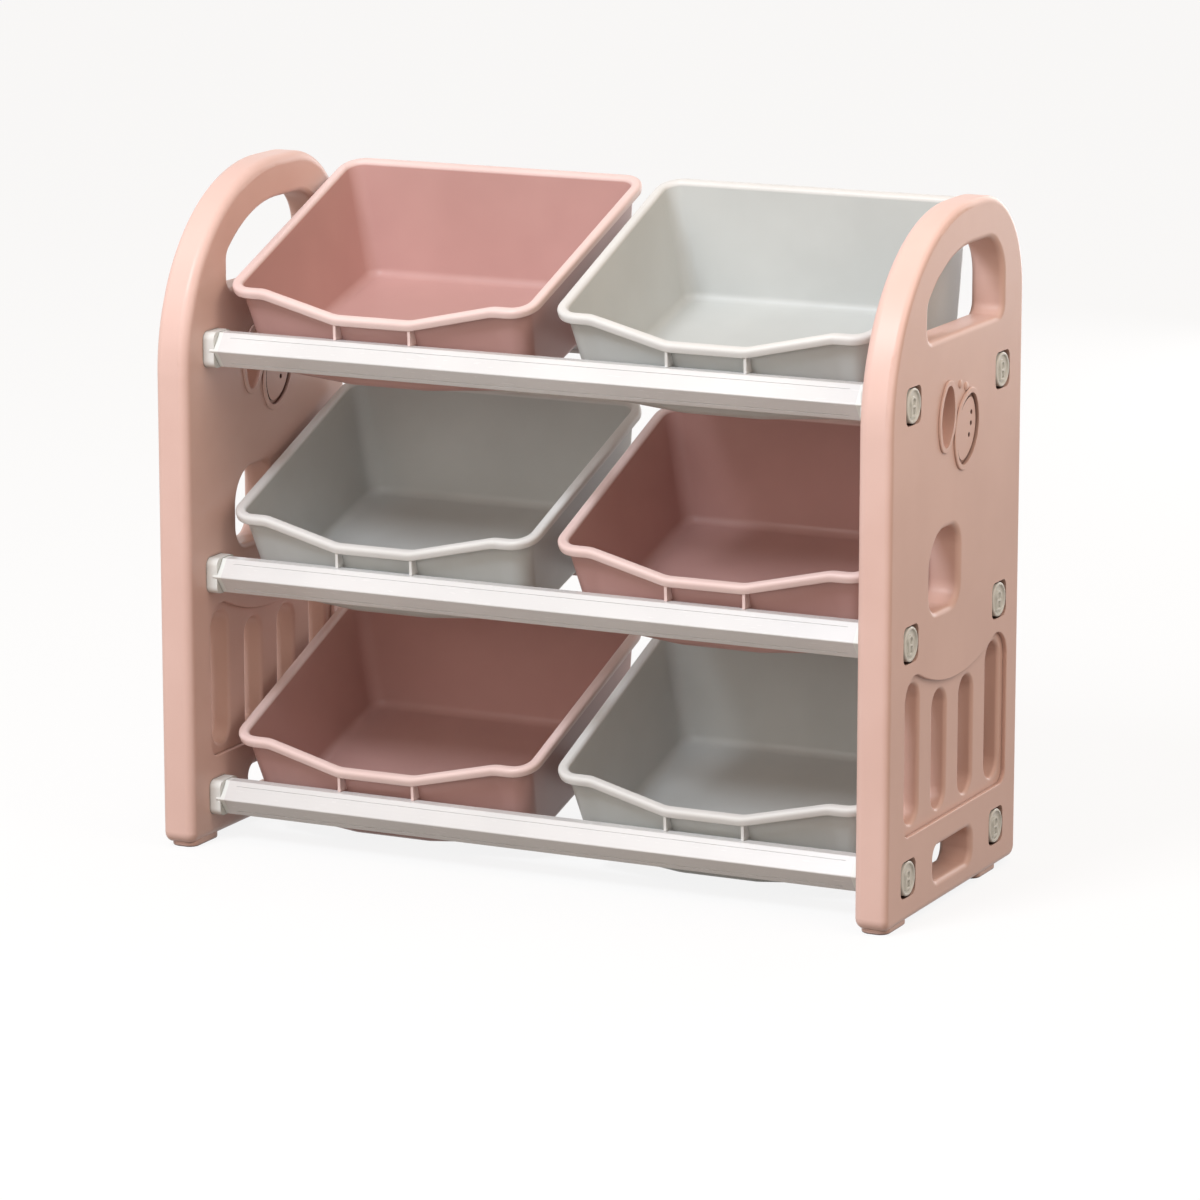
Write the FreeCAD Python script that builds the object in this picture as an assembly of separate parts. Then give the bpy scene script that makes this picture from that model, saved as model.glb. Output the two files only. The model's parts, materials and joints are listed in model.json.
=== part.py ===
import FreeCAD, Part
import math
import os

# Toy cabinet: two moulded side panels, six rails with end plugs and lock caps, six tilted bins.
# Millimetres. X runs to the right, Y to the back and Z up, from the middle of the footprint on the floor.

V = FreeCAD.Vector

# Shared values
overrun = 5.0
same_place = 0.001
fit_gap = 0.3
slide_gap = 0.15

# Side panels
overall_width = 821.0
panel_thickness = 36.0
panel_depth = 345.0
outer_edge_round = 7.0
inner_edge_round = 10.0
foot_drop = 4.5
foot_length = 57.0
foot_side_inset = 3.0
front_foot_inset = 8.0
rear_foot_inset = 42.0
foot_end_round = 11.0
foot_edge_round = 2.0
base_corner_round = 12.0
bottom_lock_height = 48.0
tier_pitch = 238.0
crown_rise = 182.0
front_arch_share = 0.595
rear_arch_share = 0.302

# Carrying handle cut through the top of each panel
handle_margin = 43.0
handle_base_share = 0.308
handle_nose_share = 0.44
handle_rear_share = 0.165
handle_rear_round_share = 0.53
handle_corner_round = 12.0
handle_nose_round = 14.0
opening_lip_round = 6.0

# Window, wider round at its upper front corner
window_width = 76.0
window_height = 81.0
window_forward = 31.0
window_rise = 59.5
window_round = 21.0
window_shoulder_round = 38.0

# Winged ornament: two raised lips, the front one round an opening, the rear one round a sunk groove
wing_tip_share = 0.6
front_wing_half_length = 31.0
front_wing_half_width = 16.5
front_wing_forward = 31.0
front_wing_drop = 25.0
front_wing_lean = 9.5
wing_lip_width = 5.5
wing_lip_height = 2.0
wing_lip_round = 1.2
rear_wing_half_length = 37.0
rear_wing_half_width = 27.0
rear_wing_back = 21.0
rear_wing_drop = 45.0
rear_wing_lean = 24.0
wing_groove_width = 4.5
wing_groove_depth = 2.5
wing_spot_radius = 2.6
wing_spot_shares = ((0.46, 0.40), (0.43, 0.10), (0.26, -0.20))

# Picket field: a sunk field with four upright slots
slot_width = 35.0
slot_end_margin = 10.0
slot_lip_round = 4.0
field_end_margin = 37.5
field_back = 5.0
field_side_margin = 11.0
field_depth = 4.5
field_edge_round = 1.2
field_above_lock = 42.0
field_below_lock = 34.0
field_dip = 22.5
field_corner_round = 14.0

# Low opening between the feet
base_opening_length = 99.0
base_opening_height = 36.0
base_opening_rise = 22.5
base_opening_round = 12.0

# Lock sockets: a square pocket on both faces with a web and a bore between them
lock_end_margin = 56.0
socket_side = 38.0
socket_round = 8.0
outer_socket_depth = 12.0
inner_socket_depth = 14.0
stem_radius = 8.0

# Rails: hollow six-sided mouldings
rail_half_depth = 20.0
rail_half_height = 18.0
rail_half_top = 6.5
rail_wall = 2.5
rail_edge_round = 1.5
rail_groove_width = 1.2
rail_groove_depth = 0.7
rail_groove_end = 10.0
rail_groove_share = 0.73

# End plugs
plug_collar = 7.5
plug_cap = 10.0
plug_tenon = 26.0
plug_edge_round = 1.0

# Lock caps
cap_side_gap = 1.3
cap_proud = 0.5
cap_edge_round = 1.2
cap_rim_width = 2.6
cap_ring_radius = 9.5
cap_ring_width = 1.6
cap_face_depth = 1.2
cap_bar_width = 3.4
stem_reach = 16.0
stem_slit = 2.4
stem_tip_round = 1.0

# Bins, each in its own frame: across, along from front to rear, and up from the floor of the bin
bin_rise = 66.8117
bin_side_gap = 9.0
bin_rear_reach = 32.5
bin_front_height = 92.5
bin_rear_height = 117.0
bin_front_dip = 15.5
bin_bow = 17.0
bin_bow_flat_share = 0.241
bin_bow_end_flat = 4.8
bin_front_draft = 5.5
bin_side_draft = 7.0
bin_rear_draft = 9.5
bin_wall = 2.4
bin_floor = 2.6
bin_corner_round = 18.0
bin_bow_round = 40.0
bin_floor_round = 9.0
bend_steps = 3
lip_overhang = 9.0
lip_height = 9.5
lip_wall = 2.2
lip_round = 3.4
rib_thickness = 3.0
rib_reach = 7.0

# Values worked out from the sizes above
outer_x = overall_width / 2
inner_x = outer_x - panel_thickness
middle_x = outer_x - panel_thickness / 2
half_depth = panel_depth / 2
tiers = ("bottom", "middle", "top")
lock_heights = [bottom_lock_height + tier_pitch * tier for tier in range(len(tiers))]
top_lock_height = lock_heights[-1]
panel_top = top_lock_height + crown_rise
front_arch_radius = front_arch_share * panel_depth
rear_arch_radius = rear_arch_share * panel_depth
lock_spread = panel_depth - 2 * lock_end_margin
field_half = half_depth - field_end_margin
slot_pitch = (field_half - field_side_margin - slot_width / 2) / 1.5
cap_radius = socket_side / 2 - cap_side_gap
cap_height = outer_socket_depth + cap_proud
bay_width = inner_x
lip_half = bay_width / 2 - bin_side_gap
bin_tilt = math.degrees(math.atan2(bin_rise, lock_spread))
bin_length = lock_spread + bin_rear_reach
bin_floor_half = lip_half - lip_overhang - bin_rear_height * math.tan(math.radians(bin_side_draft))
bow_half_flat = bin_bow_flat_share * lip_half
bow_half_run = bin_floor_half - bin_corner_round - bin_bow_end_flat


def rounded_loop(points, radii):
    """Closed wire through the points, with an arc of the given radius at each corner."""
    count = len(points)
    starts = []
    middles = []
    ends = []
    for i in range(count):
        corner = points[i]
        to_last = (points[i - 1] - corner).normalize()
        to_next = (points[(i + 1) % count] - corner).normalize()
        half = to_last.getAngle(to_next) / 2
        run = radii[i] / math.tan(half)
        inward = (to_last + to_next).normalize()
        starts.append(corner + to_last * run)
        ends.append(corner + to_next * run)
        middles.append(corner + inward * (radii[i] / math.sin(half) - radii[i]))
    edges = []
    for i in range(count):
        edges.append(Part.Arc(starts[i], middles[i], ends[i]).toShape())
        edges.append(Part.LineSegment(ends[i], starts[(i + 1) % count]).toShape())
    return Part.Wire(edges)


def prism(wire, along):
    """Solid swept from a flat closed wire along a vector."""
    return Part.Face(wire).extrude(along)


def side_loop(x, places, radii):
    """Rounded loop in an upright plane across X, from places given as (y, z)."""
    return rounded_loop([V(x, y, z) for y, z in places], radii)


def edges_on(solid, x, low, high):
    """Edges that lie on the plane at x, within the (y, z) corners low and high."""
    found = []
    for edge in solid.Edges:
        box = edge.BoundBox
        flat = abs(box.XMin - x) < same_place and abs(box.XMax - x) < same_place
        across = box.YMin > low[0] and box.YMax < high[0]
        upright = box.ZMin > low[1] and box.ZMax < high[1]
        if flat and across and upright:
            found.append(edge)
    return found


def circle_point(centre, radius, angle):
    """Point (y, z) on a circle, with the angle in degrees from +Y towards +Z."""
    turn = math.radians(angle)
    return (centre[0] + radius * math.cos(turn), centre[1] + radius * math.sin(turn))


def arc_between(x, centre, radius, first, last):
    """Arc edge in the plane at x between two angles."""
    middle = (first + last) / 2
    points = [V(x, *circle_point(centre, radius, angle)) for angle in (first, middle, last)]
    return Part.Arc(*points).toShape()


def angle_of(start, end):
    return math.degrees(math.atan2(end[1] - start[1], end[0] - start[0]))


def front_arch():
    """Centre (y, z) of the wide front arch, tangent to the front edge and to the level crown."""
    return (front_arch_radius - half_depth, panel_top - front_arch_radius)


def panel_outline(x):
    """Side outline: upright edges, a wide front arch, a short level crown and a tighter rear arch."""
    front = front_arch()
    rear = (half_depth - rear_arch_radius, panel_top - rear_arch_radius)
    low = foot_drop + base_corner_round
    front_foot = (base_corner_round - half_depth, low)
    rear_foot = (half_depth - base_corner_round, low)
    edges = [
        Part.LineSegment(V(x, -half_depth, low), V(x, -half_depth, front[1])).toShape(),
        arc_between(x, front, front_arch_radius, 180, 90),
        Part.LineSegment(V(x, front[0], panel_top), V(x, rear[0], panel_top)).toShape(),
        arc_between(x, rear, rear_arch_radius, 90, 0),
        Part.LineSegment(V(x, half_depth, rear[1]), V(x, half_depth, low)).toShape(),
        arc_between(x, rear_foot, base_corner_round, 0, -90),
        Part.LineSegment(V(x, rear_foot[0], foot_drop), V(x, front_foot[0], foot_drop)).toShape(),
        arc_between(x, front_foot, base_corner_round, -90, -180),
    ]
    return Part.Wire(edges)


def both_faces(shape):
    """A feature of the outer face together with its mirror image on the inner face."""
    return [shape, shape.mirror(V(middle_x, 0, 0), V(1, 0, 0))]


def pierce(panel, loop, lip_round, sunk):
    """Opening right through the panel, with its edge rounded on both faces, which lie sunk by a depth."""
    cutter = prism(loop, V(panel_thickness + 2 * overrun, 0, 0))
    box = cutter.BoundBox
    panel = panel.cut(cutter)
    low = (box.YMin - overrun, box.ZMin - overrun)
    high = (box.YMax + overrun, box.ZMax + overrun)
    lips = edges_on(panel, outer_x - sunk, low, high) + edges_on(panel, inner_x + sunk, low, high)
    return panel.makeFillet(lip_round, lips)


def capsule_places(y, low, high, width):
    """Corner places of an upright slot; rounding by half the width makes its ends round."""
    half = width / 2
    return [(y - half, low), (y + half, low), (y + half, high), (y - half, high)]


def handle_loop(x):
    """Handle opening: its front and top run parallel to the front arch and the crown of the panel."""
    centre = front_arch()
    radius = front_arch_radius - handle_margin
    top = panel_top - handle_margin
    low = top_lock_height + handle_base_share * crown_rise
    nose = low + handle_nose_share * (top - low)
    front = centre[0] - math.sqrt(radius ** 2 - (nose - centre[1]) ** 2)
    rear = half_depth - handle_rear_share * panel_depth
    corner = handle_corner_round
    bend = handle_nose_round
    nose_y = front + bend
    nose_z = centre[1] + math.sqrt((radius - bend) ** 2 - (nose_y - centre[0]) ** 2)
    turn = angle_of(centre, (nose_y, nose_z))
    rear_round = handle_rear_round_share * (top - low)
    edges = [
        Part.LineSegment(V(x, front + corner, low), V(x, rear - corner, low)).toShape(),
        arc_between(x, (rear - corner, low + corner), corner, -90, 0),
        Part.LineSegment(V(x, rear, low + corner), V(x, rear, top - rear_round)).toShape(),
        arc_between(x, (rear - rear_round, top - rear_round), rear_round, 0, 90),
        Part.LineSegment(V(x, rear - rear_round, top), V(x, centre[0], top)).toShape(),
        arc_between(x, centre, radius, 90, turn),
        arc_between(x, (nose_y, nose_z), bend, turn, 180),
        Part.LineSegment(V(x, front, nose_z), V(x, front, low + corner)).toShape(),
        arc_between(x, (front + corner, low + corner), corner, 180, 270),
    ]
    return Part.Wire(edges)


def window_loop(x):
    """Window with round corners, the upper front one wider."""
    low = lock_heights[1] + window_rise - window_height / 2
    places = capsule_places(-window_forward, low, low + window_height, window_width)
    return side_loop(x, places, [window_round] * 3 + [window_shoulder_round])


def swag():
    """Height of the centre and radius of the hanging arc along the top of the picket field.

    The arc hangs by the dip between two round shoulders and runs tangent into both.
    """
    shoulder = slot_width / 2 + slot_end_margin
    reach = ((field_half - shoulder) ** 2 + field_dip ** 2) / (2 * field_dip)
    top = lock_heights[1] - field_below_lock
    return top - field_dip + reach - shoulder, reach - shoulder


def field_outline(x):
    """Picket field: straight sides and lower edge, round shoulders and the swag between them."""
    half = field_half
    low = lock_heights[0] + field_above_lock
    high = lock_heights[1] - field_below_lock
    shoulder = slot_width / 2 + slot_end_margin
    corner = field_corner_round
    centre, radius = swag()
    rear = (half - shoulder, high - shoulder)
    front = (-rear[0], rear[1])
    turn = angle_of((0, centre), rear)
    edges = [
        Part.LineSegment(V(x, corner - half, low), V(x, half - corner, low)).toShape(),
        arc_between(x, (half - corner, low + corner), corner, -90, 0),
        Part.LineSegment(V(x, half, low + corner), V(x, half, rear[1])).toShape(),
        arc_between(x, rear, shoulder, 0, 180 + turn),
        arc_between(x, (0, centre), radius, turn, -180 - turn),
        arc_between(x, front, shoulder, -turn, 180),
        Part.LineSegment(V(x, -half, front[1]), V(x, -half, low + corner)).toShape(),
        arc_between(x, (corner - half, low + corner), corner, 180, 270),
    ]
    outline = Part.Wire(edges)
    outline.translate(V(0, field_back, 0))
    return outline


def slot_loops(x):
    """Outlines of the four slots; each ends an end margin below the top of the field."""
    low = lock_heights[0] + field_above_lock + slot_end_margin
    centre, radius = swag()
    shoulder = slot_width / 2 + slot_end_margin
    slots = []
    for step in (-1.5, -0.5, 0.5, 1.5):
        y = step * slot_pitch
        high = lock_heights[1] - field_below_lock - slot_end_margin
        if abs(step) < 1:
            high = centre - math.sqrt((radius + shoulder) ** 2 - y ** 2) + slot_width / 2
        places = capsule_places(y + field_back, low, high, slot_width)
        slots.append(side_loop(x, places, [slot_width / 2 - same_place] * 4))
    return slots


def wing(x, place, sizes, lean, offset):
    """Oval of four arcs round a place (y, z), leaning back by an angle and grown by the offset."""
    half_length, half_width = sizes
    tip = half_width * wing_tip_share
    side = (half_length ** 2 + half_width ** 2 - 2 * half_length * tip) / (2 * (half_width - tip))
    turn = math.degrees(math.atan2(half_length - tip, side - half_width))
    arcs = [
        ((half_width - side, 0), side, -turn, turn),
        ((0, half_length - tip), tip, turn, 180 - turn),
        ((side - half_width, 0), side, 180 - turn, 180 + turn),
        ((0, tip - half_length), tip, 180 + turn, 360 - turn),
    ]
    oval = Part.Wire([arc_between(0, centre, radius + offset, *ends) for centre, radius, *ends in arcs])
    oval.rotate(V(0, 0, 0), V(1, 0, 0), -lean)
    oval.translate(V(x, *place))
    return oval


def wing_lip(place, sizes, lean):
    """Raised plate round a wing, with its upper edge rounded."""
    rise = V(overrun + wing_lip_height, 0, 0)
    plate = prism(wing(outer_x - overrun, place, sizes, lean, wing_lip_width), rise)
    rim = [edge for edge in plate.Edges if edge.BoundBox.XMin > outer_x + same_place]
    return plate.makeFillet(wing_lip_round, rim)


def ornament(panel):
    """Two wings inside raised lips: the front one pierced through, the rear one with a groove and spots."""
    front = (-front_wing_forward, top_lock_height - front_wing_drop)
    front_sizes = (front_wing_half_length, front_wing_half_width)
    rear = (rear_wing_back, top_lock_height - rear_wing_drop)
    rear_sizes = (rear_wing_half_length, rear_wing_half_width)
    front_lip = wing_lip(front, front_sizes, front_wing_lean)
    rear_lip = wing_lip(rear, rear_sizes, rear_wing_lean)
    reach = V(wing_groove_depth + wing_lip_height + overrun, 0, 0)
    floor = outer_x - wing_groove_depth
    field = prism(wing(outer_x, rear, rear_sizes, rear_wing_lean, 0), reach)
    groove = prism(wing(floor, rear, rear_sizes, rear_wing_lean, 0), reach)
    groove = groove.cut(prism(wing(floor, rear, rear_sizes, rear_wing_lean, -wing_groove_width), reach))
    sunk = both_faces(groove.fuse(field).cut(front_lip))
    for across_share, up_share in wing_spot_shares:
        place = V(floor, rear[0] + across_share * rear_sizes[1], rear[1] + up_share * rear_sizes[0])
        sunk.extend(both_faces(Part.makeCylinder(wing_spot_radius, reach.x, place, V(1, 0, 0))))
    panel = panel.fuse(both_faces(front_lip) + both_faces(rear_lip)).cut(sunk)
    start = inner_x - wing_lip_height - overrun
    through = V(panel_thickness + 2 * wing_lip_height + 2 * overrun, 0, 0)
    return panel.cut(prism(wing(start, front, front_sizes, front_wing_lean, 0), through))


def socket_centres():
    return [(y, z) for z in lock_heights for y in (-lock_spread / 2, lock_spread / 2)]


def square_places(y, z, side):
    half = side / 2
    return [(y - half, z - half), (y + half, z - half), (y + half, z + half), (y - half, z + half)]


def sockets():
    """Cutters for the square pockets of both faces and the bore between them."""
    cutters = []
    for y, z in socket_centres():
        places = square_places(y, z, socket_side)
        radii = [socket_round] * 4
        outer = side_loop(outer_x - outer_socket_depth, places, radii)
        inner = side_loop(inner_x + inner_socket_depth, places, radii)
        cutters.append(prism(outer, V(outer_socket_depth + overrun, 0, 0)))
        cutters.append(prism(inner, V(-inner_socket_depth - overrun, 0, 0)))
        bore = stem_radius + slide_gap
        cutters.append(Part.makeCylinder(bore, panel_thickness, V(inner_x, y, z), V(1, 0, 0)))
    return cutters


def feet():
    """Two low moulded feet under the panel's lower edge, with round ends."""
    blocks = []
    for front in (-half_depth + front_foot_inset, half_depth - rear_foot_inset - foot_length):
        corner = V(inner_x + foot_side_inset, front, 0)
        width = panel_thickness - 2 * foot_side_inset
        block = Part.makeBox(width, foot_length, foot_drop + base_corner_round, corner)
        uprights = [edge for edge in block.Edges if edge.BoundBox.ZLength > foot_drop]
        block = block.makeFillet(foot_end_round, uprights)
        soles = [edge for edge in block.Edges if edge.BoundBox.ZMax < same_place]
        blocks.append(block.makeFillet(foot_edge_round, soles))
    return blocks


def picket_field(panel):
    """Field sunk into both faces of the panel, with four slots right through its floor."""
    field = prism(field_outline(outer_x - field_depth), V(field_depth + overrun, 0, 0))
    box = field.BoundBox
    panel = panel.cut(both_faces(field))
    low = (box.YMin - overrun, box.ZMin - overrun)
    high = (box.YMax + overrun, box.ZMax + overrun)
    rims = edges_on(panel, outer_x, low, high) + edges_on(panel, inner_x, low, high)
    panel = panel.makeFillet(field_edge_round, rims)
    for slot in slot_loops(inner_x - overrun):
        panel = pierce(panel, slot, slot_lip_round, field_depth)
    return panel


def side_panel():
    """Right-hand panel; the left-hand one is its mirror image."""
    panel = prism(panel_outline(inner_x), V(panel_thickness, 0, 0))
    low = (-panel_depth, -overrun)
    high = (panel_depth, panel_top + overrun)
    panel = panel.makeFillet(outer_edge_round, edges_on(panel, outer_x, low, high))
    panel = panel.makeFillet(inner_edge_round, edges_on(panel, inner_x, low, high))
    start = inner_x - overrun
    panel = pierce(panel, handle_loop(start), opening_lip_round, 0)
    panel = pierce(panel, window_loop(start), opening_lip_round, 0)
    base_low = foot_drop + base_opening_rise
    base = capsule_places(0, base_low, base_low + base_opening_height, base_opening_length)
    panel = pierce(panel, side_loop(start, base, [base_opening_round] * 4), opening_lip_round, 0)
    panel = picket_field(panel)
    panel = ornament(panel)
    panel = panel.cut(sockets())
    return panel.fuse(feet()).removeSplitter()


def hex_places(inset):
    """Corners of the rail's section, moved in from its faces by the inset, as (y, z)."""
    face = math.hypot(rail_half_depth - rail_half_top, rail_half_height)
    lean = (rail_half_depth - rail_half_top) / rail_half_height
    nose = rail_half_depth - inset * face / rail_half_height
    high = rail_half_height - inset
    top = nose - lean * high
    return [(-nose, 0), (-top, -high), (top, -high), (nose, 0), (top, high), (-top, high)]


def hex_loop(x, inset):
    return side_loop(x, hex_places(inset), [rail_edge_round] * 6)


def rail_end():
    """Distance of a rail's end from the middle of the cabinet."""
    return inner_x - plug_collar - plug_cap


def rail():
    """Hollow rail, centred on its own axis, with a shallow line groove along each slanted face."""
    end = rail_end()
    bar = prism(hex_loop(-end, 0), V(2 * end, 0, 0))
    bar = bar.cut(prism(hex_loop(-end - overrun, rail_wall), V(2 * end + 2 * overrun, 0, 0)))
    run = 2 * (end - rail_groove_end)
    grooves = []
    for side in (-1, 1):
        for way in (-1, 1):
            nose = V(0, side * rail_half_depth, 0)
            edge = V(0, side * rail_half_top, way * rail_half_height)
            along = (edge - nose).normalize()
            outward = V(0, side * abs(along.z), way * abs(along.y))
            middle = nose + (edge - nose) * rail_groove_share
            corner = middle - along * (rail_groove_width / 2) - outward * rail_groove_depth
            corner.x = -run / 2
            deep = outward * (rail_groove_depth + overrun)
            wide = along * rail_groove_width
            loop = Part.makePolygon([corner, corner + wide, corner + wide + deep, corner + deep, corner])
            grooves.append(prism(loop, V(run, 0, 0)))
    return bar.cut(grooves)


def plug():
    """Right-hand end plug on the rail's axis: tenon in the rail, six-sided cap, square peg, stem bore."""
    end = rail_end()
    tenon = prism(hex_loop(end - plug_tenon, rail_wall + slide_gap), V(plug_tenon + plug_cap, 0, 0))
    cap = prism(hex_loop(end, 0), V(plug_cap, 0, 0))
    side = socket_side - 2 * fit_gap
    peg_wire = side_loop(end + plug_cap / 2, square_places(0, 0, side), [socket_round - fit_gap] * 4)
    peg = prism(peg_wire, V(plug_cap / 2 + plug_collar + inner_socket_depth, 0, 0))
    body = cap.fuse([tenon, peg]).removeSplitter()
    face_x = inner_x + inner_socket_depth
    bore = Part.makeCylinder(stem_radius + slide_gap, stem_reach + fit_gap, V(face_x, 0, 0), V(-1, 0, 0))
    return body.cut(bore)


def lock_cap():
    """Right-hand lock cap on the rail's axis: ringed head in the outer socket and a split stem."""
    seat = outer_x - outer_socket_depth
    face = seat + cap_height
    tip = inner_x + inner_socket_depth - stem_reach
    across = V(1, 0, 0)
    head = Part.makeCylinder(cap_radius, cap_height, V(seat, 0, 0), across)
    rim = [edge for edge in head.Edges if edge.BoundBox.XMin > face - same_place]
    head = head.makeFillet(cap_edge_round, rim)
    stem = Part.makeCylinder(stem_radius, seat - tip, V(tip, 0, 0), across)
    end = [edge for edge in stem.Edges if edge.BoundBox.XMax < tip + same_place]
    stem = stem.makeChamfer(stem_tip_round, end)
    slit = Part.makeBox(stem_reach, stem_slit, 2 * cap_radius, V(tip, -stem_slit / 2, -cap_radius))
    floor = V(face - cap_face_depth, 0, 0)
    reach = cap_face_depth + overrun
    well = Part.makeCylinder(cap_radius - cap_rim_width, reach, floor, across)
    well = well.cut(Part.makeCylinder(cap_ring_radius, reach, floor, across))
    inner = Part.makeCylinder(cap_ring_radius - cap_ring_width, reach, floor, across)
    corner = floor - V(0, cap_ring_radius, cap_bar_width / 2)
    bar = Part.makeBox(reach, 2 * cap_ring_radius, cap_bar_width, corner)
    return head.cut([well, inner.cut(bar)]).fuse(stem.cut(slit)).removeSplitter()


def bin_origin():
    """Place (y, z) of the bin's front floor edge for a rail axis at height zero.

    The front wall lies against the rear corner of the front rail and the floor lies on the
    upper front corner of the rear rail, each a fit gap away.
    """
    lean = math.radians(bin_tilt + bin_front_draft)
    tilt = math.radians(bin_tilt)
    wall = V(0, -lock_spread / 2 + rail_half_depth, 0) + V(0, math.cos(lean), math.sin(lean)) * fit_gap
    floor = V(0, lock_spread / 2 - rail_half_top, rail_half_height)
    floor = floor + V(0, -math.sin(tilt), math.cos(tilt)) * fit_gap
    up = V(0, -math.sin(lean), math.cos(lean))
    along = V(0, math.cos(tilt), math.sin(tilt))
    span = floor - wall
    cross = up.y * along.z - up.z * along.y
    rise = (span.y * along.z - span.z * along.y) / cross
    return wall + up * rise


def bin_ring(offset, heights):
    """One rounded ring round the bin, moved out from its outer wall by the offset.

    The heights are those of the ring at the middle of the front, at the front corners and at the rear.
    """
    middle, front, rear = heights

    def half(height):
        return bin_floor_half + height * math.tan(math.radians(bin_side_draft)) + offset

    def ahead(height):
        return -height * math.tan(math.radians(bin_front_draft)) - offset

    back = bin_length + rear * math.tan(math.radians(bin_rear_draft)) + offset
    right = [
        V(bow_half_flat, ahead(middle), middle),
        V(bow_half_run, bin_bow + ahead(front), front),
        V(half(front), bin_bow + ahead(front), front),
        V(half(rear), back, rear),
    ]
    left = [V(-point.x, point.y, point.z) for point in reversed(right)]
    corner = bin_corner_round + offset
    radii = [bin_bow_round, bin_bow_round, corner, corner]
    return rounded_loop(right + left, radii + radii[::-1])


def rim_heights(rise):
    """Heights of a ring that lies above the lower edge of the lip by the rise."""
    return (bin_front_height - bin_front_dip + rise, bin_front_height + rise, bin_rear_height + rise)


def level(height):
    return (height, height, height)


def floor_bend(offset, rise):
    """Rings of the rounding between the floor and a wall that lies at the offset."""
    rings = []
    for step in range(bend_steps + 1):
        turn = math.radians(90 * step / bend_steps)
        inward = bin_floor_round * (1 - math.sin(turn))
        height = bin_floor_round * (1 - math.cos(turn))
        rings.append(bin_ring(offset - inward, level(rise + height)))
    return rings


def lip_bend():
    """Rings of the rounding over the outer edge of the rolled lip, from its side to its top."""
    rings = []
    for step in range(bend_steps + 1):
        turn = math.radians(90 * step / bend_steps)
        inward = lip_round * (1 - math.cos(turn))
        below = lip_round * (1 - math.sin(turn))
        rings.append(bin_ring(lip_overhang - inward, rim_heights(lip_height - below)))
    return rings


def bin_shell():
    """Bin skinned ring by ring: outer wall, rolled lip, inner wall, and a floor on each side."""
    under = lip_height - lip_wall
    rings = floor_bend(0, 0) + [
        bin_ring(0, rim_heights(under)),
        bin_ring(lip_overhang - lip_wall, rim_heights(under)),
        bin_ring(lip_overhang - lip_wall, rim_heights(0)),
        bin_ring(lip_overhang, rim_heights(0)),
    ]
    rings += lip_bend()
    rings += [
        bin_ring(lip_wall - bin_wall, rim_heights(lip_height)),
        bin_ring(-bin_wall, rim_heights(under)),
    ]
    rings += floor_bend(-bin_wall, bin_floor)[::-1]
    skin = Part.makeLoft(rings, False, True)
    shell = Part.Shell(skin.Faces + [Part.Face(rings[0]), Part.Face(rings[-1])])
    shell.sewShape()
    solid = Part.Solid(shell)
    if solid.Volume < 0:
        solid.reverse()
    return solid


def in_bin(place):
    """A place beside the rail axis, turned into the bin's own frame."""
    return FreeCAD.Rotation(V(1, 0, 0), -bin_tilt).multVec(place - bin_origin())


def bin_ribs():
    """Two gussets under the front lip, whose level lower edges sit over the front rail."""
    slope = math.tan(math.radians(bin_front_draft))
    top = bin_front_height - bin_front_dip
    inside = top + lip_height - lip_wall
    skirt = -top * slope - lip_overhang + lip_wall / 2
    seat = rail_half_height + fit_gap
    wall = bin_origin()
    wall_y = wall.y - (seat - wall.z) * math.tan(math.radians(bin_tilt + bin_front_draft)) + bin_wall / 2
    ahead_y = -lock_spread / 2 + rail_half_top - rib_reach
    points = [
        V(0, skirt, top),
        V(0, skirt, inside),
        V(0, -inside * slope + bin_wall / 2, inside),
        in_bin(V(0, wall_y, seat)),
        in_bin(V(0, ahead_y, seat)),
    ]
    ribs = []
    for side in (-1, 1):
        shift = V(side * bow_half_flat - rib_thickness / 2, 0, 0)
        loop = Part.makePolygon([point + shift for point in points + points[:1]])
        ribs.append(prism(loop, V(rib_thickness, 0, 0)))
    return ribs


def storage_bin():
    """Bin at the tilt it has on its rails, for a rail axis at height zero and the middle of a bay."""
    solid = bin_shell().fuse(bin_ribs()).removeSplitter()
    solid.rotate(V(0, 0, 0), V(1, 0, 0), bin_tilt)
    solid.translate(bin_origin())
    return solid


def mirrored(shape):
    return shape.mirror(V(0, 0, 0), V(1, 0, 0))


def placed(shape, x, y, z):
    copy = shape.copy()
    copy.translate(V(x, y, z))
    return copy


def build():
    parts = {}
    right = side_panel()
    parts["right_side_panel"] = right
    parts["left_side_panel"] = mirrored(right)
    bar = rail()
    right_plug = plug()
    right_cap = lock_cap()
    ends = {"right": (right_plug, right_cap), "left": (mirrored(right_plug), mirrored(right_cap))}
    crate = storage_bin()
    for tier, height in zip(tiers, lock_heights):
        for row, y in (("front", -lock_spread / 2), ("rear", lock_spread / 2)):
            parts[f"{tier}_{row}_rail"] = placed(bar, 0, y, height)
            for side, (end_plug, end_cap) in ends.items():
                parts[f"{tier}_{row}_{side}_plug"] = placed(end_plug, 0, y, height)
                parts[f"{tier}_{row}_{side}_lock_cap"] = placed(end_cap, 0, y, height)
        for side, x in (("left", -bay_width / 2), ("right", bay_width / 2)):
            parts[f"{tier}_{side}_bin"] = placed(crate, x, 0, height)
    return parts


os.makedirs("parts", exist_ok=True)
for name, shape in build().items():
    print(name, shape.ShapeType, shape.isValid(), len(shape.Solids), round(shape.Volume))
    shape.exportStep(f"parts/{name}.step")
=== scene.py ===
# %% [markdown]
# # A toy cabinet with lift-out bins
# Two moulded side panels carry six rails, and six tilted bins hang on the rails.
# The shapes and the motion come from the packed model, which is loaded here as a fixed frame.
# This lesson dresses that frame: finer bins and lock caps are worked out as surfaces, every plastic
# gets a finish of its own, and a floor, soft light and a camera make the picture.

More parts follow.
